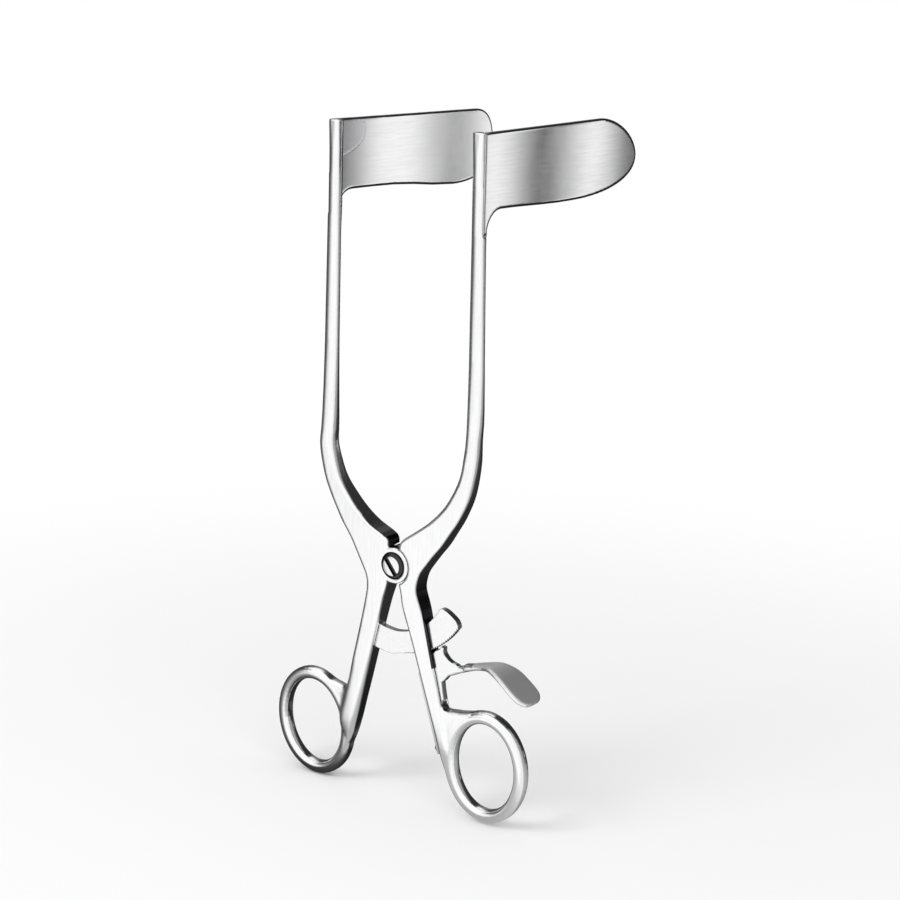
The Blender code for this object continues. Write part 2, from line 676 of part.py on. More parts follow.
def lever_pin_place():
    """The lever's pin: on the middle line of the right handle, a set way beyond the toothed edge."""
    slope = math.tan(math.radians(RIGHT_HANDLE_ANGLE))
    radius = BAR_OUT_R + LEVER_PIN_DROP
    a = 1 + slope * slope
    b = RIGHT_HANDLE_OFFSET * slope
    drop = (-b + math.sqrt(b * b - a * (RIGHT_HANDLE_OFFSET ** 2 - radius ** 2))) / a
    return RIGHT_HANDLE_OFFSET + slope * drop, -drop


def pawl_head():
    """Top of the lever when engaged, left to right: crown under the bar, one saw tooth, shoulder."""
    start = TOOTH_FIRST + TOOTH_PITCH * round((PAWL_ANGLE - TOOTH_FIRST) / TOOTH_PITCH)
    gap = math.degrees(PAWL_GAP / BAR_OUT_R)
    crown = BAR_OUT_R + PAWL_GAP
    peak = BAR_OUT_R - PAWL_BITE
    reach = TOOTH_FOOT + (1 - TOOTH_FOOT) * (TOOTH_DEPTH - PAWL_BITE) / TOOTH_DEPTH
    steep = start + reach * TOOTH_PITCH - gap
    shape = ((crown, start - PAWL_CROWN), (crown, start - 0.5 * PAWL_CROWN), (crown, start - 0.1 * TOOTH_PITCH),
             (peak, steep - 0.2), (peak, steep), (crown, start + TOOTH_PITCH - gap),
             (crown + 0.3, start + 1.4 * TOOTH_PITCH))
    return [polar(radius, angle) for radius, angle in shape]


def lifted(points):
    """Points turned clockwise about the lever's pin, out of engagement."""
    turn = math.radians(PAWL_LIFT)
    px, pz = lever_pin_place()
    out = []
    for x, z in points:
        dx, dz = x - px, z - pz
        out.append((px + dx * math.cos(turn) + dz * math.sin(turn),
                    pz + dz * math.cos(turn) - dx * math.sin(turn)))
    return out


def tail_foot():
    """Point where the tail bears on the leaf spring."""
    z = lever_pin_place()[1] - 0.85 * TAIL_DROP
    inner = handle_line(z, RIGHT_HANDLE_OFFSET, RIGHT_HANDLE_ANGLE, RIGHT_HANDLE_W)[1]
    return inner + (SPRING_SEAT + 0.05) / math.cos(math.radians(RIGHT_HANDLE_ANGLE)), z


def lever_outline():
    """Flat body of the release lever: pawl head, arm to the thumb piece, tail and boss."""
    points = lifted(pawl_head())
    px, pz = lever_pin_place()
    run = THUMB_X - px
    arm = ((0.145, 1.25), (0.155, 1.06), (0.19, 0.81), (0.24, 0.64), (0.29, 0.6), (0.39, 0.81),
           (0.39, 0.45), (0.29, 0.26), (0.24, -0.11), (0.19, -0.43))
    points += [(px + share * run, pz + rise * THUMB_RISE) for share, rise in arm]
    tail = ((0.137, -0.36), (0.147, -0.6), (0.161, -0.85), (0.137, -0.98))
    points += [(px + share * run, pz + drop * TAIL_DROP) for share, drop in tail]
    foot_x, foot_z = tail_foot()
    points += [(foot_x + 1.2, pz - TAIL_DROP), (foot_x + 0.15, foot_z - 0.8), (foot_x, foot_z),
               (foot_x + 0.1, foot_z + 0.9), (foot_x - 0.2, foot_z + 3.2)]
    for k in range(5):
        turn = math.radians(205 - 25 * k)
        points.append((px + LEVER_BOSS_R * math.cos(turn), pz + LEVER_BOSS_R * math.sin(turn)))
    return points


def thumb_mesh():
    """Spoon-shaped thumb piece: a thin strip that widens along Y and dips at its end."""
    px, pz = lever_pin_place()
    run = THUMB_X - px
    path = (
        (0.352, 0.62, 1.3 * THUMB_T, 0.30 * THUMB_W), (0.438, 0.74, 1.2 * THUMB_T, 0.34 * THUMB_W),
        (0.548, 0.94, 1.1 * THUMB_T, 0.47 * THUMB_W), (0.638, 1.0, THUMB_T, 0.72 * THUMB_W),
        (0.753, 0.68, THUMB_T, 0.94 * THUMB_W), (0.858, 0.09, THUMB_T, THUMB_W),
        (0.934, -0.34, THUMB_T, 0.95 * THUMB_W), (0.98, -0.57, 0.9 * THUMB_T, 0.7 * THUMB_W),
        (1.0, -0.64, 0.6 * THUMB_T, 0.35 * THUMB_W),
    )
    fine = refine(path, 3)
    rings = []
    for k, (share, rise, height, width) in enumerate(fine):
        before = fine[max(0, k - 1)]
        after = fine[min(len(fine) - 1, k + 1)]
        along = Vector(((after[0] - before[0]) * run, 0, (after[1] - before[1]) * THUMB_RISE)).normalized()
        normal = Vector((-along.z, 0, along.x))
        section = rounded_section(height, width, 0.47 * height)
        centre = Vector((px + share * run, 0, pz + rise * THUMB_RISE))
        rings.append([centre + normal * p + Vector((0, q, 0)) for p, q in section])
    return skin("thumb_piece", rings)


def release_lever(axis, material):
    """The lever's origin is on its pin."""
    px, pz = lever_pin_place()
    to_pin = Matrix.Translation(Vector((-px, 0, -pz)) * MM)
    body = plate("release_lever", lever_outline(), LEVER_T, 0.25)
    thumb = thumb_mesh()
    hole = cylinder("lever_hole", px, pz, LEVER_PIN_R + GAP, -LEVER_T, LEVER_T, 32)
    for mesh in (body, thumb, hole):
        mesh.transform(to_pin)
    item = place("release_lever", body, material)
    item.parent = axis
    boolean(item, thumb, "UNION")
    boolean(item, hole, "DIFFERENCE")
    smooth(item)


def lever_pin(axis, material):
    px, pz = lever_pin_place()
    mesh = cylinder("lever_pin", px, pz, LEVER_PIN_R, -pin_depth(), half_thickness_at(pz), 32)
    item = place("lever_pin", mesh, material)
    item.parent = axis
    smooth(item)


def spring_frame():
    """Start, direction and outward normal of the spring's seat along the handle's inner edge."""
    line = (RIGHT_HANDLE_OFFSET, RIGHT_HANDLE_ANGLE, RIGHT_HANDLE_W)
    top = Vector((handle_line(SPRING_TOP_Z, *line)[1], 0, SPRING_TOP_Z))
    low = Vector((handle_line(SPRING_LOW_Z, *line)[1], 0, SPRING_LOW_Z))
    along = (low - top).normalized()
    return top, low, along, Vector((along.z, 0, -along.x))


def strip(name, start, end, normal, thickness, width):
    """Straight strip whose under side runs from start to end, thickness measured along the normal."""
    middle = (start + end) / 2 + normal * thickness / 2
    along = end - start
    turn = math.degrees(math.atan2(along.x, along.z))
    return box(name, (thickness, width, along.length), middle, turn)


def spring_seat():
    top, low, along, normal = spring_frame()
    return strip("right_spring_seat", top - along * 0.6 - normal * SPRING_SEAT,
                 low + along * 0.6 - normal * SPRING_SEAT, normal, 4.0, JOINT_T)


def leaf_spring(axis, material):
    top, low, along, normal = spring_frame()
    lift = normal * (GAP - SPRING_SEAT)
    leaf = strip("leaf_spring", top + lift, low + lift, normal, SPRING_T, SPRING_W)
    item = place("leaf_spring", leaf, material)
    item.parent = axis
    boolean(item, spring_screw_mesh("spring_hole", GAP, False), "DIFFERENCE")


def spring_screw_mesh(name, extra, with_head):
    """Small screw through the spring's lower end into the handle."""
    top, low, along, normal = spring_frame()
    foot = low - along * (SPRING_SCREW_HEAD_R + 0.4)
    under = GAP - SPRING_SEAT + SPRING_T + (GAP if with_head else 0.0)
    inner_end = -SPRING_SCREW_L - extra
    radius = SPRING_SCREW_R + extra
    if with_head:
        profile = ((0, under + SPRING_SCREW_HEAD_H), (0.7 * SPRING_SCREW_HEAD_R, under + SPRING_SCREW_HEAD_H),
                   (SPRING_SCREW_HEAD_R, under + 0.35 * SPRING_SCREW_HEAD_H), (SPRING_SCREW_HEAD_R, under),
                   (radius, under), (radius, inner_end), (0, inner_end))
    else:
        profile = ((0, under + 3), (radius, under + 3), (radius, inner_end), (0, inner_end))
    mesh = turned(name, profile, 24)
    mesh.transform(Vector((0, 1, 0)).rotation_difference(normal).to_matrix().to_4x4())
    mesh.transform(Matrix.Translation(foot * MM))
    return mesh


def spring_screw(axis, material):
    item = place("spring_screw", spring_screw_mesh("spring_screw", 0.0, True), material)
    item.parent = axis
    smooth(item)


def empty(name, x, z):
    item = bpy.data.objects.new(name, None)
    bpy.data.collections[RENDERED].objects.link(item)
    item.location = Vector((x, MID_Y, z)) * MM
    return item


def build():
    start_scene()
    polished = steel("polished_steel", (0.78, 0.79, 0.80), 0.22)
    satin = steel("satin_steel", (0.72, 0.73, 0.74), 0.35)
    spring_steel = steel("spring_steel", (0.62, 0.63, 0.65), 0.30)
    left_axis = empty("left_arm_axis", 0, 0)
    right_axis = empty("right_arm_axis", 0, 0)
    lever_axis = empty("release_lever_axis", *lever_pin_place())
    left_arm(left_axis, polished)
    right_arm(right_axis, polished)
    left_outline = blade_outline(LEFT_BLADE_ROOT_H, LEFT_BLADE_TOP_Y, LEFT_BLADE_WIDE_Y,
                                 (2.8, 2.2, 5.0), 0.56, LEFT_BLADE_DROOP)
    right_outline = blade_outline(RIGHT_BLADE_ROOT_H, RIGHT_BLADE_TOP_Y, RIGHT_BLADE_WIDE_Y,
                                  (1.75, 2.3, 1.5), 0.53, 0.0)
    blade("left_blade", -1, left_axis, satin, left_outline)
    blade("right_blade", 1, right_axis, satin, right_outline)
    ratchet_bar(left_axis, satin)
    bar_pins(left_axis, polished)
    pivot_screw(right_axis, polished)
    release_lever(lever_axis, polished)
    lever_pin(right_axis, polished)
    leaf_spring(right_axis, spring_steel)
    spring_screw(right_axis, polished)
    bpy.context.view_layer.update()


build()
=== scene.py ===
import json
import math

import bmesh
import bpy
from mathutils import Matrix, Vector

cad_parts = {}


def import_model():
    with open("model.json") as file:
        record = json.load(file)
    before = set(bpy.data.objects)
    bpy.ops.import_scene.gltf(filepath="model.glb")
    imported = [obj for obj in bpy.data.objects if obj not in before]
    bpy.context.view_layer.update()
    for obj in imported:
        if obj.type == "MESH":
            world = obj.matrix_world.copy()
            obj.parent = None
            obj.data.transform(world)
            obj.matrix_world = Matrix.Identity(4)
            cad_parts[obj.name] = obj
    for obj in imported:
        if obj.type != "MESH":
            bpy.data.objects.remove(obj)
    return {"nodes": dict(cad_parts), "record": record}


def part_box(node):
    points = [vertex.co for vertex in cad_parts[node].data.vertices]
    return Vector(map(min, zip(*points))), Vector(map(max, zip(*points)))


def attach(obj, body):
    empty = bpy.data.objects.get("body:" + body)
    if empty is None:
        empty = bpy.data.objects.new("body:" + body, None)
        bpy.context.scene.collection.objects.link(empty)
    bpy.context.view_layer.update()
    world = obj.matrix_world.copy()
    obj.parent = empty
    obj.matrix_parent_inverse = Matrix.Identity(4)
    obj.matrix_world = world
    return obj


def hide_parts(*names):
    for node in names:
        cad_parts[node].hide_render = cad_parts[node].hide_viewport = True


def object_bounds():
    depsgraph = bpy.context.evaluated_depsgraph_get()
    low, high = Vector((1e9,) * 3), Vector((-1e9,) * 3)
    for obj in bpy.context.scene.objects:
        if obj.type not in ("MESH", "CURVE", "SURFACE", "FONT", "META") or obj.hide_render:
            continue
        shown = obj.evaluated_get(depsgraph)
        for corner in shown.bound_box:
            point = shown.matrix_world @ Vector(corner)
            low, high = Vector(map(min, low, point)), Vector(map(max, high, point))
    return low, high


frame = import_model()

# Sizes are in millimetres and degrees where a comment doesn't say metres.
MM = 0.001
CAD_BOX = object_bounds()
MID_Y = -4.2                    # middle plane of the arms
FLOOR_Z = CAD_BOX[0][2] - 0.0002    # just under the rings, metres


# ---------------------------------------------------------------- shader nodes

def node_tree(name):
    material = bpy.data.materials.new(name)
    material.use_nodes = True
    tree = material.node_tree
    return material, tree, tree.nodes["Principled BSDF"]


def add(tree, kind, **values):
    """New node with its sockets or settings filled in by name."""
    node = tree.nodes.new(kind)
    for key, value in values.items():
        if key in node.inputs:
            node.inputs[key].default_value = value
        else:
            setattr(node, key, value)
    return node


def math_node(tree, operation, *values):
    """Result of a calculation with numbers and sockets."""
    node = add(tree, "ShaderNodeMath", operation=operation)
    for socket, value in zip(node.inputs, values):
        if isinstance(value, (int, float)):
            socket.default_value = value
        else:
            tree.links.new(value, socket)
    return node.outputs[0]


def product(tree, first, *others):
    for value in others:
        first = math_node(tree, "MULTIPLY", first, value)
    return first


def above(tree, value, limit):
    """1 where a value is above a limit, otherwise 0."""
    return math_node(tree, "GREATER_THAN", value, limit)


def between(tree, value, low, high):
    """1 where a value lies between two limits, otherwise 0."""
    return product(tree, above(tree, value, low), math_node(tree, "LESS_THAN", value, high))


def mapped(tree, value, start, end, low=0.0, high=1.0, interpolation="LINEAR"):
    """Maps the range from start to end onto the one from low to high, and holds it there beyond."""
    node = add(tree, "ShaderNodeMapRange", interpolation_type=interpolation)
    for socket, number in zip(("From Min", "From Max", "To Min", "To Max"), (start, end, low, high)):
        node.inputs[socket].default_value = number
    tree.links.new(value, node.inputs["Value"])
    return node.outputs["Result"]


def coordinates(tree, kind="Object"):
    """X, Y and Z of the shaded point, in metres, or of another output of the coordinates."""
    place = add(tree, "ShaderNodeTexCoord")
    split = add(tree, "ShaderNodeSeparateXYZ")
    tree.links.new(place.outputs[kind], split.inputs[0])
    return [split.outputs[axis] for axis in "XYZ"]


def distance(tree, first, second):
    """Distance from an axis, from the two coordinates across it."""
    squares = [math_node(tree, "POWER", value, 2.0) for value in (first, second)]
    return math_node(tree, "SQRT", math_node(tree, "ADD", *squares))


def noise(tree, scale, stretch, detail):
    """Noise on the piece's own coordinates, stretched by an XYZ factor."""
    place = add(tree, "ShaderNodeTexCoord")
    mapping = add(tree, "ShaderNodeMapping", Scale=stretch)
    texture = add(tree, "ShaderNodeTexNoise", Scale=scale, Detail=detail)
    tree.links.new(place.outputs["Object"], mapping.inputs["Vector"])
    tree.links.new(mapping.outputs["Vector"], texture.inputs["Vector"])
    return texture.outputs["Fac"]


def spread(tree, value, low, high):
    """Maps the middle of a noise onto a range."""
    return mapped(tree, value, *NOISE_MIDDLE, low, high)


def mix_tone(tree, factor, first, second):
    """Colour between two, by a factor socket; both may be a colour or a socket."""
    node = add(tree, "ShaderNodeMix", data_type="RGBA")
    for place, value in ((6, first), (7, second)):      # the node's two colour inputs
        if isinstance(value, tuple):
            node.inputs[place].default_value = (*value, 1)
        else:
            tree.links.new(value, node.inputs[place])
    tree.links.new(factor, node.inputs["Factor"])
    return node.outputs[2]


def mix_shader(tree, factor, first, second):
    """The first shader at a factor of 0, the second at 1."""
    node = add(tree, "ShaderNodeMixShader")
    for socket, output in zip(node.inputs, (factor, first, second)):
        tree.links.new(output, socket)
    return node.outputs[0]


def ramp(tree, value, stops, interpolation="LINEAR"):
    """Brightness along a value from 0 to 1."""
    node = add(tree, "ShaderNodeValToRGB")
    node.color_ramp.interpolation = interpolation
    elements = node.color_ramp.elements
    while len(elements) < len(stops):
        elements.new(0.5)
    for element, (position, level) in zip(elements, stops):
        element.position = position
        element.color = (level, level, level, 1)
    tree.links.new(value, node.inputs["Fac"])
    return node.outputs["Color"]


# ---------------------------------------------------------------- materials

NOISE_MIDDLE = (0.3, 0.7)       # part of a noise's range that is used
CLOUD_SCALE = 60.0              # handling marks: how many, stretch and detail
CLOUD_STRETCH = (1, 1, 0.6)
CLOUD_DETAIL = 4.0
GRAIN_DETAIL = 2.0              # grinding lines
WORN_TONE = 0.93                # share of the colour that the marks leave
GRAIN_TONE = 0.86               # the same in the grinding lines
GRAIN_SHARE = 0.35              # how strongly the lines show in the colour
CLOUD_ROUGH = (0.8, 1.25)       # share of the roughness where the marks are, and where they aren't
GRAIN_ROUGH = 0.12              # share by which it varies along the lines
GRAIN_DEPTH = 0.00002           # metres
MATT_ROUGH = 0.55
THUMB_FROM_X = 31.0             # the lever is matt beyond this
THUMB_FACING = 0.2              # where its normal points up by at least this
# Painted shade: this near-black is painted where shade falls, in recesses, the notch and on side faces
PAINTED_SHADE = (0.05, 0.05, 0.055)
RECESS_R = 4.45                 # recess round the screw's head
RECESS_FADE = (0.05, -0.1)      # painted shade starts and is full this far from its rim
NOTCH_R = (4.6, 9.6)            # notch between the arms above the joint
NOTCH_LOW_Z = 4.0
NOTCH_Y = -7.0                  # its faces, and the arm's side, lie behind this
SIDE_X = 6.0                    # painted shade on the right arm's side: beyond this x
SIDE_FADE = (1.0, -8.0)         # starts and is full at these heights
SIDE_LOW_Z = -32.0
HEAD_FRONT_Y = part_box("pivot_screw")[0].y / MM
HEAD_FADE = (0.12, 0.3)         # painted shade starts and is full this far behind the head's front


def steel(name, colour, rough, grain, grain_stretch, bump, painted_shade=None, matt=None):
    """Ground and polished steel: fine grinding lines, cloudy roughness, faint handling marks.

    The last two arguments, if given, are functions of the tree that return where shade is painted dark
    into the colour, and where the steel is matt.
    """
    material, tree, shader = node_tree(name)
    shader.inputs["Metallic"].default_value = 1.0
    cloud = noise(tree, CLOUD_SCALE, CLOUD_STRETCH, CLOUD_DETAIL)
    lines = noise(tree, grain, grain_stretch, GRAIN_DETAIL)
    tone = mix_tone(tree, spread(tree, cloud, 0.0, 1.0), tuple(c * WORN_TONE for c in colour), colour)
    tone = mix_tone(tree, spread(tree, lines, 0.0, GRAIN_SHARE), tone, tuple(c * GRAIN_TONE for c in colour))
    # painted shade: darkens the colour where the function says shade falls
    if painted_shade:
        tone = mix_tone(tree, painted_shade(tree), tone, PAINTED_SHADE)
    tree.links.new(tone, shader.inputs["Base Color"])
    finish = math_node(tree, "ADD", spread(tree, cloud, rough * CLOUD_ROUGH[0], rough * CLOUD_ROUGH[1]),
                       spread(tree, lines, -GRAIN_ROUGH * rough, GRAIN_ROUGH * rough))
    if matt:
        finish = math_node(tree, "MAXIMUM", finish, product(tree, matt(tree), MATT_ROUGH))
    tree.links.new(finish, shader.inputs["Roughness"])
    relief = add(tree, "ShaderNodeBump", Strength=bump, Distance=GRAIN_DEPTH)
    tree.links.new(lines, relief.inputs["Height"])
    tree.links.new(relief.outputs["Normal"], shader.inputs["Normal"])
    return material


def thumb_rest(tree):
    """The lever's upper face, where the thumb presses."""
    x = coordinates(tree)[0]
    upward = coordinates(tree, "Normal")[2]
    return product(tree, above(tree, x, THUMB_FROM_X * MM), above(tree, upward, THUMB_FACING))


def joint_painted_shade(tree):
    """Painted shade in the ring-shaped recess round the joint screw's head and in the notch above it."""
    x, y, z = coordinates(tree)
    radius = distance(tree, x, z)
    recess = mapped(tree, radius, *((RECESS_R + fade) * MM for fade in RECESS_FADE))
    notch = product(tree, between(tree, radius, *(reach * MM for reach in NOTCH_R)),
                    above(tree, z, NOTCH_LOW_Z * MM), above(tree, y, NOTCH_Y * MM))
    return math_node(tree, "MAXIMUM", recess, notch)


def side_painted_shade(tree):
    """Painted shade on the right arm's outer side, down to the mortise that the ratchet bar leaves by."""
    x, y, z = coordinates(tree)
    height = mapped(tree, z, *(limit * MM for limit in SIDE_FADE), interpolation="SMOOTHSTEP")
    return product(tree, height, above(tree, z, SIDE_LOW_Z * MM), above(tree, y, NOTCH_Y * MM),
                   above(tree, x, SIDE_X * MM))


def head_painted_shade(tree):
    """The same painted shade on the screw head's steep rim and in its slot."""
    y = coordinates(tree)[1]
    return mapped(tree, y, *((HEAD_FRONT_Y + fade) * MM for fade in HEAD_FADE))


# Colour, roughness, number and stretch of the grinding lines, and depth of the relief
FORGED = ((0.93, 0.93, 0.935), 0.17, 1500.0, (1, 1, 0.08), 0.12)
PALE = (0.90, 0.90, 0.905)
ARM = steel("arm_steel", *FORGED)
LEFT_ARM = steel("left_arm_steel", *FORGED, painted_shade=joint_painted_shade)
RIGHT_ARM = steel("right_arm_steel", *FORGED, painted_shade=side_painted_shade)
SCREW = steel("screw_steel", PALE, 0.15, 2500.0, (1, 1, 1), 0.1, painted_shade=head_painted_shade)
LEVER = steel("lever_steel", PALE, 0.17, 1500.0, (0.1, 1, 1), 0.12, matt=thumb_rest)
BLADE = steel("blade_steel", (0.90, 0.90, 0.91), 0.05, 1800.0, (1, 0.05, 1), 0.05)
RATCHET = steel("ratchet_steel", PALE, 0.18, 1500.0, (1, 1, 1), 0.08)
SPRING = steel("spring_steel", (0.62, 0.63, 0.66), 0.22, 1500.0, (1, 1, 0.08), 0.15)
BRAZE = steel("braze_metal", (0.80, 0.78, 0.73), 0.25, 900.0, (1, 1, 1), 0.2)

LOOKS = {
    "left_arm": LEFT_ARM, "right_arm": RIGHT_ARM, "left_blade": BLADE, "right_blade": BLADE,
    "ratchet_bar": RATCHET, "bar_pin_upper": ARM, "bar_pin_lower": ARM,
    "pivot_screw": SCREW, "lever_pin": ARM, "release_lever": LEVER,
    "leaf_spring": SPRING, "spring_screw": SCREW,
}


# ---------------------------------------------------------------- pieces

BODIES = {node: body for body, nodes in frame["record"]["behaviour"]["bodies"].items() for node in nodes}

SMOOTHING = 0.5                 # step of each round of smoothing
MORE_ROUNDS = 60                # rounds where a piece is rounded off further
LEFT_WEB = ((-30, -20, -58), (-17, 20, -40))    # box round the web between left handle and ring
THUMB_PIECE = ((21.5, -20, -41), (60, 20, -27))
# By how much the lever's lower edge drops at each x, and how far above the edge that fades out
THROAT = ((19.8, 0.0), (21.3, -0.5), (22.7, 0.1), (24.85, 1.1), (27.0, 0.8), (29.5, 0.4), (32.0, 0.0))
THROAT_DEPTH = 3.0
THROAT_SLICES = 4               # slices per mm in which the edge is looked for
SHANK_T = 3.6                   # thickness of a shank
SHANK_LOW_Z = 39                # the rounding starts here and grows over SHANK_TAPER
SHANK_TAPER = 32
SHANK_MARGIN = 2                # its width is measured from this far below
SHANK_TOP_Z = 106               # end of the rounding all round, and of the one in front
SHANK_FRONT_TOP_Z = 132
SHANK_FADE = 8                  # over which both end
SHANK_FRONT = 0.3               # share of the half thickness over which the one in front starts
SHANK_CORE = 0.8                # share of the section that stays as it is
SHANK_POWER = 2.2               # 2 is an ellipse
SEAM = 0.3                      # gap that the CAD leaves round a blade's root
SEAM_CLEAR = 0.01
SEAM_INSET = (0.12, 0.1)        # how far the braze stays inside the blade's outer face and its top
SEAT_DEPTH = 2.35               # from the blade's front edge to the shank's rear face
# Head of the joint screw: share of its radius, and depth behind its front
HEAD_PROFILE = ((0, 0), (0.7, 0.03), (0.76, 0.1), (0.8, 0.3), (0.84, 0.9), (1, 1.15), (1, 1.6))
SHAFT_R = 2.0
SHAFT_BEVEL = 0.2
SCREW_STEPS = 96
SCREW_MERGE = (0.00001, 0.000002)   # metres within which points are joined, on the axis and then anywhere
SCREW_CREASE = 35               # edges sharper than this stay sharp
SLOT_W = 1.8
SLOT_DEPTH = 0.8
SLOT_TURN = -52.0


def new_object(name, mesh):
    item = bpy.data.objects.new(name, mesh)
    bpy.context.scene.collection.objects.link(item)
    return item


def mesh_from(bm, name):
    mesh = bpy.data.meshes.new(name)
    bm.to_mesh(mesh)
    bm.free()
    return mesh


def apply_modifiers(item):
    bpy.context.view_layer.update()
    item.data = bpy.data.meshes.new_from_object(item.evaluated_get(bpy.context.evaluated_depsgraph_get()))
    item.modifiers.clear()


def cut_away(item, cutter):
    cut = item.modifiers.new("cut", "BOOLEAN")
    cut.operation = "DIFFERENCE"
    cut.solver = "EXACT"
    cut.object = cutter
    apply_modifiers(item)


def settle(piece, like, material):
    """Gives a finished piece its material, slot and body: the ones of a CAD node."""
    piece.data.materials.clear()
    piece.data.materials.append(material)
    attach(piece, BODIES[like])


def within(point, low, high, falloff):
    """1 inside a box, fading to 0 over a distance outside it."""
    miss = max(max(a - v, v - b, 0) for v, a, b in zip(point, low, high))
    return max(0.0, 1 - miss / falloff)


def softened(node, voxel, rounds, rounded=None, falloff=2.0):
    """Finer copy of a CAD piece with the softened edges and blended corners that polishing leaves.

    rounded is a box inside which the piece is rounded off further.
    """
    item = new_object(node + "_finish", frame["nodes"][node].data.copy())
    remesh = item.modifiers.new("remesh", "REMESH")
    remesh.mode = "VOXEL"
    remesh.voxel_size = voxel * MM
    soften = item.modifiers.new("soften", "SMOOTH")
    soften.factor = SMOOTHING
    soften.iterations = rounds
    apply_modifiers(item)
    if rounded:
        group = item.vertex_groups.new(name="rounded")
        for vert in item.data.vertices:
            group.add([vert.index], within(vert.co / MM, *rounded, falloff), "REPLACE")
        more = item.modifiers.new("rounded", "SMOOTH")
        more.vertex_group = "rounded"
        more.factor = SMOOTHING
        more.iterations = MORE_ROUNDS
        apply_modifiers(item)
        item.vertex_groups.clear()
    item.data.shade_smooth()
    settle(item, node, LOOKS[node])
    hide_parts(node)
    return item


def round_shank(item):
    """Rounds a straight shank's cross-section off towards an ellipse, within the CAD's section.

    Beside the blade only the front half is rounded, since the blade is seated in the rear half.
    """
    width = {}
    for vert in item.data.vertices:
        x, z = vert.co.x / MM, vert.co.z / MM
        if SHANK_LOW_Z - SHANK_MARGIN < z:
            low, high = width.get(round(z), (x, x))
            width[round(z)] = (min(low, x), max(high, x))
    for vert in item.data.vertices:
        x, y, z = vert.co / MM
        along = (y - MID_Y) / (SHANK_T / 2)
        start = min(1, max(0, (z - SHANK_LOW_Z) / SHANK_TAPER))
        whole = within((z,), (SHANK_LOW_Z,), (SHANK_TOP_Z,), SHANK_FADE)
        front = within((z,), (SHANK_LOW_Z,), (SHANK_FRONT_TOP_Z,), SHANK_FADE)
        weight = start * max(whole, front * min(1, max(0, -along / SHANK_FRONT)))
        if weight == 0:
            continue
        step = z - math.floor(z)
        low, high = (a + step * (b - a) for a, b in zip(width[math.floor(z)], width[math.floor(z) + 1]))
        across = (2 * x - low - high) / (high - low)
        if max(abs(across), abs(along)) < SHANK_CORE:
            continue
        reach = (abs(across) ** SHANK_POWER + abs(along) ** SHANK_POWER) ** (1 / SHANK_POWER)
        share = weight * (1 / reach - 1)
        vert.co.x = (x + share * across * (high - low) / 2) * MM
        vert.co.y = (y + share * (y - MID_Y)) * MM


def blend_throat(item):
    """Draws the lever's lower edge into one smooth curve between its tail and the thumb rest."""
    edge = {}
    for vert in item.data.vertices:
        key = round(vert.co.x / MM * THROAT_SLICES)
        edge[key] = min(edge.get(key, 0), vert.co.z / MM)
    for vert in item.data.vertices:
        x, z = vert.co.x / MM, vert.co.z / MM
        for (x0, drop0), (x1, drop1) in zip(THROAT, THROAT[1:]):
            if x0 <= x < x1:
                share = max(0, 1 - (z - edge[round(x * THROAT_SLICES)]) / THROAT_DEPTH)
                vert.co.z -= (drop0 + (drop1 - drop0) * (x - x0) / (x1 - x0)) * share * MM


def braze(node, side):
    """Braze metal in the seam between a blade's root and its seat in the shank."""
    low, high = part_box(node)
    inner, outer = (high.x, low.x) if side < 0 else (low.x, high.x)
    corner = (inner - side * (SEAM - SEAM_CLEAR) * MM, low.y - (SEAM - SEAM_CLEAR) * MM,
              low.z - (SEAM - SEAM_CLEAR) * MM)
    far = (outer - side * SEAM_INSET[0] * MM, low.y + SEAT_DEPTH * MM, high.z - SEAM_INSET[1] * MM)
    bm = bmesh.new()
    bmesh.ops.create_cube(bm, size=1.0)
    for vert in bm.verts:
        vert.co = Vector([corner[k] if vert.co[k] < 0 else far[k] for k in range(3)])
    bmesh.ops.recalc_face_normals(bm, faces=bm.faces)
    item = new_object(node + "_braze", mesh_from(bm, node + "_braze"))
    cut_away(item, frame["nodes"][node])
    settle(item, node, BRAZE)


def slot_cutter(front, length):
    """Bar that cuts the screwdriver slot across the screw's head."""
    bm = bmesh.new()
    bmesh.ops.create_cube(bm, size=1.0)
    bmesh.ops.scale(bm, vec=Vector((length, 2 * SLOT_DEPTH, SLOT_W)) * MM, verts=bm.verts)
    bmesh.ops.rotate(bm, verts=bm.verts, matrix=Matrix.Rotation(math.radians(-SLOT_TURN), 3, "Y"))
    bmesh.ops.translate(bm, verts=bm.verts, vec=(0, front * MM, 0))
    return new_object("slot_cutter", mesh_from(bm, "slot_cutter"))


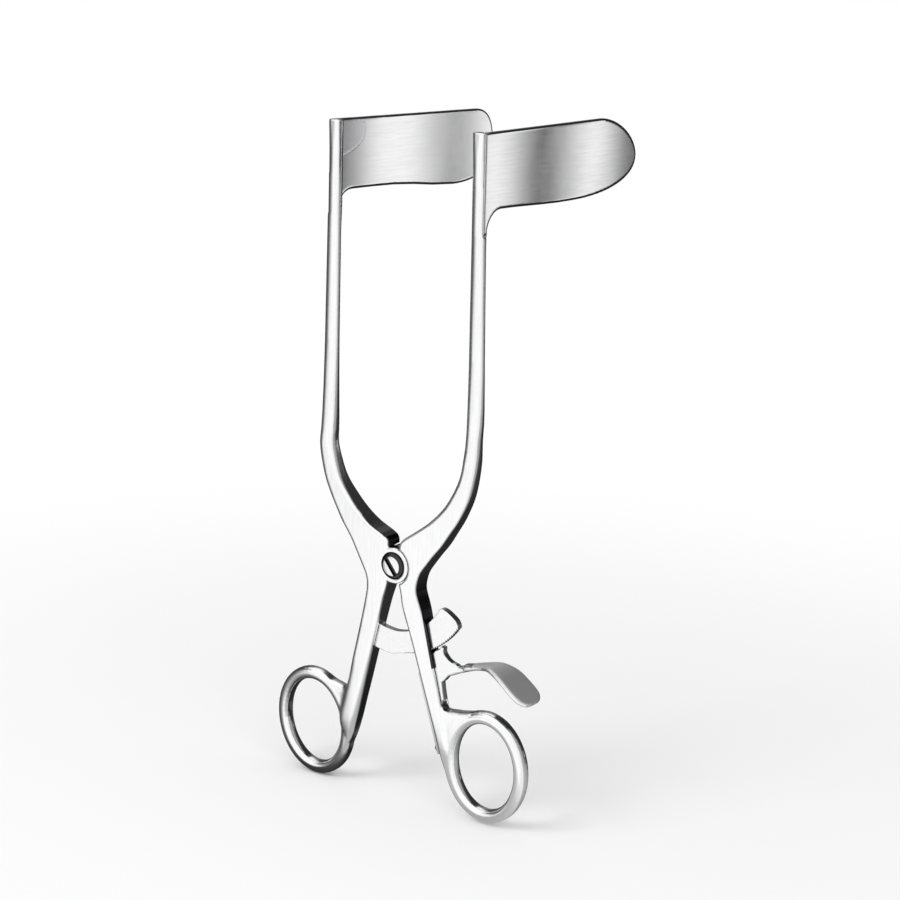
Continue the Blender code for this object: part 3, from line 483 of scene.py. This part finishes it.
def joint_screw():
    """The joint screw with a crisper head: flat top, steep rim and a wide slot."""
    low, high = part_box("pivot_screw")
    head_r = (high.x - low.x) / 2 / MM
    front, back = low.y / MM, high.y / MM
    profile = [(share * head_r, front + depth) for share, depth in HEAD_PROFILE]
    profile += [(SHAFT_R, profile[-1][1]), (SHAFT_R, back - SHAFT_BEVEL), (SHAFT_R - SHAFT_BEVEL, back), (0, back)]
    mesh = bpy.data.meshes.new("joint_screw")
    mesh.from_pydata([Vector((r, y, 0)) * MM for r, y in profile], [(k, k + 1) for k in range(len(profile) - 1)], [])
    item = new_object("joint_screw", mesh)
    turn = item.modifiers.new("turn", "SCREW")
    turn.axis = "Y"
    turn.steps = turn.render_steps = SCREW_STEPS
    turn.use_merge_vertices = True
    turn.merge_threshold = SCREW_MERGE[0]
    apply_modifiers(item)
    bm = bmesh.new()
    bm.from_mesh(item.data)
    bmesh.ops.remove_doubles(bm, verts=bm.verts, dist=SCREW_MERGE[1])
    bmesh.ops.recalc_face_normals(bm, faces=bm.faces)
    item.data = mesh_from(bm, "joint_screw")
    cutter = slot_cutter(front, 3 * head_r)
    cut_away(item, cutter)
    bpy.data.objects.remove(cutter, do_unlink=True)
    item.data.transform(Matrix.Translation(((low.x + high.x) / 2, 0, (low.z + high.z) / 2)))
    item.data.shade_smooth()
    item.data.set_sharp_from_angle(angle=math.radians(SCREW_CREASE))
    settle(item, "pivot_screw", SCREW)
    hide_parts("pivot_screw")


for node, look in LOOKS.items():
    for slot in frame["nodes"][node].material_slots:
        slot.material = look
braze("left_blade", -1)
braze("right_blade", 1)
softened("left_blade", voxel=0.3, rounds=3)
softened("right_blade", voxel=0.3, rounds=3)
round_shank(softened("left_arm", voxel=0.3, rounds=6, rounded=LEFT_WEB, falloff=5.0))
round_shank(softened("right_arm", voxel=0.3, rounds=6))
blend_throat(softened("release_lever", voxel=0.2, rounds=6, rounded=THUMB_PIECE))
softened("ratchet_bar", voxel=0.13, rounds=8)
joint_screw()


# ---------------------------------------------------------------- studio

# Brightness of the studio by direction, degrees from +X towards +Y: bright in front and on the right, dark
# behind and on the left.
STUDIO_STOPS = ((0, 0.5), (38, 0.3), (49, 0.05), (60, 0.02), (100, 0.02), (120, 0.2), (140, 0.05), (160, 0.03),
                (190, 0.07), (205, 0.12), (218, 0.35), (228, 1.0), (310, 1.0), (335, 0.85))
# Light strips: degrees and brightness. The blades' faces towards +X mirror the right one. The left blade's
# root mirrors the rear one, by way of the right blade. The shanks' fronts mirror the front one.
RIGHT_STRIP = ((51.8, 0.1), (53.3, 1.0), (53.55, 1.0), (55.2, 0.33), (56.05, 1.0), (57.43, 0.13), (58.8, 1.0),
               (59.8, 0.08))
REAR_STRIP = ((120.0, 0.05), (122.0, 0.9), (126.7, 1.0), (128.3, 0.12))
FRONT_STRIP = ((205.0, 0.1), (224.0, 0.22), (236.0, 0.68), (248.0, 1.0), (300.0, 1.0))
STRIP_HEIGHTS = (-0.19, 0.05)   # sines of the elevations that they cover
SKY_HEIGHTS = (0.50, 0.85)      # sines of the elevations between which the studio turns white overhead
SKY_SIDE = (105.0, 120.0)       # degrees between which that begins; from 0 to there it stays as it is
WORLD_LIGHT = 0.7
MIRROR_LIGHT = 1.12             # strength of everything that the steel mirrors
FLOOR_R = 0.9                   # metres, like the rest of the floor and the lamps
FLOOR_TONE = (0.96, 0.96, 0.96, 1)
FLOOR_FADE = (0.10, 0.42)       # radii between which it turns plain white
FLOOR_SHADE = (0.035, 0.08, 0.45, 1.0)  # mirrored floor next to the object: from and to this radius, its levels
LAMP_SIZE = 0.8
LAMP_TARGET = (0, 0, 0.03)
LAMPS = (("key", (-0.5, -1.1, 1.1), 9), ("fill", (0.9, -0.7, 0.6), 3))  # place and power, watts
# Camera fitted to the photograph: joint, blade corners and rings fall on their pixels
VIEW_TURN, VIEW_RISE, VIEW_ROLL = 34.9, 14.23, -1.35
VIEW_DISTANCE = 694.5
FOCAL_PX = 2136.88
PHOTO_PX = 900
JOINT_PX = (400.71, 563.62)
JOINT_POINT = (0.65, MID_Y, 0)
SENSOR_W = 36.0
CLIP = (0.01, 50.0)             # metres


def azimuth(tree, x, y):
    """Direction of x and y as a share of a full turn."""
    turn = math_node(tree, "ARCTAN2", y, x)
    return math_node(tree, "FRACT", math_node(tree, "ADD", math_node(tree, "DIVIDE", turn, 2 * math.pi), 1.0))


def studio_level(tree, turn):
    return ramp(tree, turn, [(angle / 360, level) for angle, level in STUDIO_STOPS])


def with_strip(tree, turn, height, around, strip):
    """Sets a light strip into the studio, on a ramp of its own, since one for the whole turn is too coarse."""
    first, last = strip[0][0], strip[-1][0]
    share = math_node(tree, "DIVIDE", math_node(tree, "SUBTRACT", turn, first / 360), (last - first) / 360)
    level = ramp(tree, share, [((angle - first) / (last - first), level) for angle, level in strip], "EASE")
    inside = product(tree, between(tree, share, 0.0, 1.0), between(tree, height, *STRIP_HEIGHTS))
    return mix_tone(tree, inside, around, level)


def by_ray(tree, lit, direct, mirrored):
    """Shader that looks different to each kind of ray.

    lit is for light on surfaces and mirrored for reflections in the steel. direct is a factor and a shader,
    mixed in where the camera looks straight at it.
    """
    path = add(tree, "ShaderNodeLightPath")
    return mix_shader(tree, path.outputs["Is Glossy Ray"], mix_shader(tree, direct[0], lit, direct[1]), mirrored)


def seen_directly(tree):
    """1 for the camera's own rays, also where they pass through glass, otherwise 0."""
    path = add(tree, "ShaderNodeLightPath")
    return math_node(tree, "MAXIMUM", path.outputs["Is Camera Ray"], path.outputs["Is Transmission Ray"])


def floor_material():
    """Pale floor: takes the object's shadow nearby and fades to plain white; steel mirrors the studio in it."""
    material, tree, shader = node_tree("floor_white")
    shader.inputs["Base Color"].default_value = FLOOR_TONE
    shader.inputs["Roughness"].default_value = 1.0
    shader.inputs["Specular IOR Level"].default_value = 0.0
    x, y, _ = coordinates(tree)
    radius = distance(tree, x, y)
    far = product(tree, seen_directly(tree), mapped(tree, radius, *FLOOR_FADE, interpolation="SMOOTHSTEP"))
    white = add(tree, "ShaderNodeEmission")
    shade = mapped(tree, radius, *FLOOR_SHADE, interpolation="SMOOTHSTEP")
    mirrored = add(tree, "ShaderNodeEmission", Strength=MIRROR_LIGHT)
    level = mix_tone(tree, shade, (0.0, 0.0, 0.0), studio_level(tree, azimuth(tree, x, y)))
    tree.links.new(level, mirrored.inputs["Color"])
    mix = by_ray(tree, shader.outputs[0], (far, white.outputs[0]), mirrored.outputs[0])
    tree.links.new(mix, tree.nodes["Material Output"].inputs[0])
    return material


def world():
    """White where the camera sees it, an even light on surfaces, and the studio where steel mirrors it."""
    scene = bpy.context.scene
    scene.world = scene.world or bpy.data.worlds.new("studio")
    scene.world.use_nodes = True
    tree = scene.world.node_tree
    tree.nodes.clear()
    out = add(tree, "ShaderNodeOutputWorld")
    x, y, z = coordinates(tree, "Generated")
    turn = azimuth(tree, x, y)
    around = studio_level(tree, turn)
    for strip in (RIGHT_STRIP, REAR_STRIP, FRONT_STRIP):
        around = with_strip(tree, turn, z, around, strip)
    overhead = product(tree, mapped(tree, z, *SKY_HEIGHTS, interpolation="SMOOTHSTEP"),
                       mapped(tree, turn, *(angle / 360 for angle in SKY_SIDE), interpolation="SMOOTHSTEP"))
    mirrored = add(tree, "ShaderNodeBackground", Strength=MIRROR_LIGHT)
    tree.links.new(mix_tone(tree, overhead, around, (1.0, 1.0, 1.0)), mirrored.inputs["Color"])
    plain = add(tree, "ShaderNodeBackground", Color=(1, 1, 1, 1), Strength=1.0)
    light = add(tree, "ShaderNodeBackground", Color=(1, 1, 1, 1), Strength=WORLD_LIGHT)
    mix = by_ray(tree, light.outputs[0], (seen_directly(tree), plain.outputs[0]), mirrored.outputs[0])
    tree.links.new(mix, out.inputs[0])


def lamp(name, location, power):
    data = bpy.data.lights.new(name, "AREA")
    data.size = LAMP_SIZE
    data.energy = power
    item = new_object(name, data)
    item.location = location
    item.visible_glossy = False
    item.rotation_euler = (Vector(LAMP_TARGET) - Vector(location)).to_track_quat("-Z", "Y").to_euler()


def camera():
    turn, rise, roll = (math.radians(angle) for angle in (VIEW_TURN, VIEW_RISE, VIEW_ROLL))
    back = Vector((math.sin(turn) * math.cos(rise), -math.cos(turn) * math.cos(rise), math.sin(rise)))
    side = Vector((math.cos(turn), math.sin(turn), 0))
    up = back.cross(side)
    right = side * math.cos(roll) - up * math.sin(roll)
    top = up * math.cos(roll) + side * math.sin(roll)
    off_x, off_y = (value - PHOTO_PX / 2 for value in JOINT_PX)
    place = Vector(JOINT_POINT) + back * VIEW_DISTANCE - right * off_x * VIEW_DISTANCE / FOCAL_PX
    place += top * off_y * VIEW_DISTANCE / FOCAL_PX
    data = bpy.data.cameras.new("camera")
    data.sensor_width = SENSOR_W
    data.lens = FOCAL_PX / PHOTO_PX * SENSOR_W
    data.clip_start, data.clip_end = CLIP
    item = new_object("camera", data)
    rows = [(right[k], top[k], back[k], place[k] * MM) for k in range(3)]
    item.matrix_world = Matrix((*rows, (0, 0, 0, 1)))
    bpy.context.scene.camera = item


def studio():
    world()
    bpy.ops.mesh.primitive_circle_add(vertices=96, radius=FLOOR_R, fill_type="NGON", location=(0, 0, FLOOR_Z))
    floor = bpy.context.object
    floor.name = "floor"
    floor.data.materials.append(floor_material())
    for name, location, power in LAMPS:
        lamp(name, location, power)


camera()
studio()
bpy.context.scene.view_settings.view_transform = "Standard"
